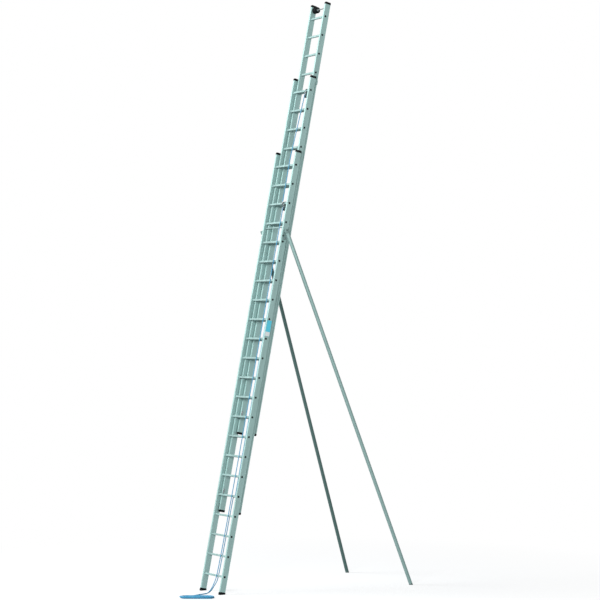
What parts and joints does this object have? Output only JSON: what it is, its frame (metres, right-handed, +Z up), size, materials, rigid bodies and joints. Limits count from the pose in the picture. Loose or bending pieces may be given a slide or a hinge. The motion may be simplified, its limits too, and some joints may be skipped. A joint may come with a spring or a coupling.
{
  "type": "rope-operated extension ladder with stay poles",
  "caption": "Free-standing rope-operated extension ladder: nested aluminium sections that slide by a haul rope over pulleys, hinged stay poles, self-locking catches and a wall roller.",
  "frame": {"origin": "on the floor, midway across the ladder and midway between the front of its feet and the back of the stay feet", "axes": "+X across the ladder to the climber's right, +Y away from the climber towards the stay feet, +Z up; the sections lean 78.7 degrees above the floor"},
  "size_m": [1.6642, 3.5404, 8.3963],
  "materials": {
    "stile_aluminium": "brushed",
    "rung_aluminium": "brushed",
    "stay_aluminium": "satin",
    "black_plastic": "matt",
    "black_rubber": "matt",
    "grey_rubber": "matt",
    "zinc_steel": "satin",
    "stay_fitting": "satin",
    "blue_rope": "braided",
    "blue_label": "smooth"
  },
  "bodies": {
    "base": {"base_stile_left": "stile_aluminium", "base_stile_right": "stile_aluminium", "base_rungs": "rung_aluminium", "base_rung_plugs": "black_plastic", "base_caps": "black_plastic", "base_foot_left": "black_rubber", "base_foot_right": "black_rubber", "base_guides": "stile_aluminium", "haul_hanger": "zinc_steel", "haul_axle": "zinc_steel", "lift_rope_anchor": "zinc_steel", "stay_bracket_left": "stile_aluminium", "stay_bracket_right": "stile_aluminium", "stay_bracket_bolts": "zinc_steel", "stay_pivots": "zinc_steel", "stay_lock_knobs": "black_plastic", "stay_tie_bar": "rung_aluminium", "stile_label": "blue_label", "haul_rope": "blue_rope", "return_rope": "blue_rope", "rope_pile": "blue_rope", "hoist_rope": "blue_rope", "lift_rope": "blue_rope"},
    "haul_sheave": {"haul_sheave": "black_plastic"},
    "middle": {"middle_stile_left": "stile_aluminium", "middle_stile_right": "stile_aluminium", "middle_rungs": "rung_aluminium", "middle_rung_plugs": "black_plastic", "middle_caps": "black_plastic", "middle_guides": "black_plastic", "middle_upper_guides": "stile_aluminium", "hoist_hanger": "zinc_steel", "hoist_axle": "zinc_steel", "middle_catch_pins": "zinc_steel", "middle_rope_clamp": "zinc_steel", "lift_rope_rear": "blue_rope"},
    "hoist_sheave": {"hoist_sheave": "black_plastic"},
    "middle_catch_left": {"middle_catch_left": "zinc_steel"},
    "middle_catch_right": {"middle_catch_right": "zinc_steel"},
    "top": {"top_stile_left": "stile_aluminium", "top_stile_right": "stile_aluminium", "top_rungs": "rung_aluminium", "top_rung_plugs": "black_plastic", "top_caps": "black_plastic", "top_guides": "black_plastic", "top_catch_pins": "zinc_steel", "top_rope_clamp": "zinc_steel", "roller_axle": "zinc_steel"},
    "top_catch_left": {"top_catch_left": "zinc_steel"},
    "top_catch_right": {"top_catch_right": "zinc_steel"},
    "roller": {"roller_tread": "black_rubber", "roller_hub": "zinc_steel"},
    "stay_yoke_left": {"stay_yoke_left": "stay_fitting"},
    "stay_yoke_right": {"stay_yoke_right": "stay_fitting"},
    "stay_left": {"stay_pole_left": "stay_aluminium", "stay_head_left": "stay_fitting", "stay_foot_left": "grey_rubber"},
    "stay_right": {"stay_pole_right": "stay_aluminium", "stay_head_right": "stay_fitting", "stay_foot_right": "grey_rubber"}
  },
  "joints": [
    {"name": "middle_slide", "type": "slide", "parent": "base", "child": "middle", "axis": [0, 0.1959, 0.9806], "range_m": [-0.84, 3.36], "deforming": ["hoist_rope", "return_rope", "lift_rope"]},
    {"name": "top_slide", "type": "slide", "parent": "middle", "child": "top", "axis": [0, 0.1959, 0.9806], "range_m": [-0.84, 3.36], "deforming": ["lift_rope_rear"]},
    {"name": "haul_sheave_spin", "type": "hinge", "parent": "base", "child": "haul_sheave", "pos_m": [0.158, -0.34493, 5.38044], "axis": [1, 0, 0], "continuous": true},
    {"name": "hoist_sheave_spin", "type": "hinge", "parent": "middle", "child": "hoist_sheave", "pos_m": [0.126, 0.0382, 7.01709], "axis": [1, 0, 0], "continuous": true},
    {"name": "roller_spin", "type": "hinge", "parent": "top", "child": "roller", "pos_m": [-0.1215, 0.37568, 8.31308], "axis": [1, 0, 0], "continuous": true},
    {"name": "middle_catch_left_turn", "type": "hinge", "parent": "middle", "child": "middle_catch_left", "pos_m": [-0.198, -1.10752, 1.40581], "axis": [-1, 0, 0], "range_deg": [0, 17]},
    {"name": "middle_catch_right_turn", "type": "hinge", "parent": "middle", "child": "middle_catch_right", "pos_m": [0.198, -1.10752, 1.40581], "axis": [-1, 0, 0], "range_deg": [0, 17]},
    {"name": "top_catch_left_turn", "type": "hinge", "parent": "top", "child": "top_catch_left", "pos_m": [-0.1595, -0.83413, 2.49332], "axis": [-1, 0, 0], "range_deg": [0, 17]},
    {"name": "top_catch_right_turn", "type": "hinge", "parent": "top", "child": "top_catch_right", "pos_m": [0.1595, -0.83413, 2.49332], "axis": [-1, 0, 0], "range_deg": [0, 17]},
    {"name": "stay_left_fold", "type": "hinge", "parent": "base", "child": "stay_yoke_left", "pos_m": [-0.322, -0.40174, 5.05016], "axis": [1, 0, 0], "range_deg": [-31.25, 15]},
    {"name": "stay_left_splay", "type": "hinge", "parent": "stay_yoke_left", "child": "stay_left", "pos_m": [-0.322, -0.40174, 5.05016], "axis": [0, 0.94, 0.3412], "range_deg": [-5.15, 6]},
    {"name": "stay_right_fold", "type": "hinge", "parent": "base", "child": "stay_yoke_right", "pos_m": [0.322, -0.40174, 5.05016], "axis": [1, 0, 0], "range_deg": [-31.25, 15]},
    {"name": "stay_right_splay", "type": "hinge", "parent": "stay_yoke_right", "child": "stay_right", "pos_m": [0.322, -0.40174, 5.05016], "axis": [0, -0.94, -0.3412], "range_deg": [-5.15, 6]}
  ],
  "couplings": [
    {"joint": "top_slide", "follows": "middle_slide", "ratio": 1},
    {"joint": "haul_sheave_spin", "follows": "middle_slide", "rad_per_m": 40},
    {"joint": "hoist_sheave_spin", "follows": "middle_slide", "rad_per_m": 40}
  ]
}
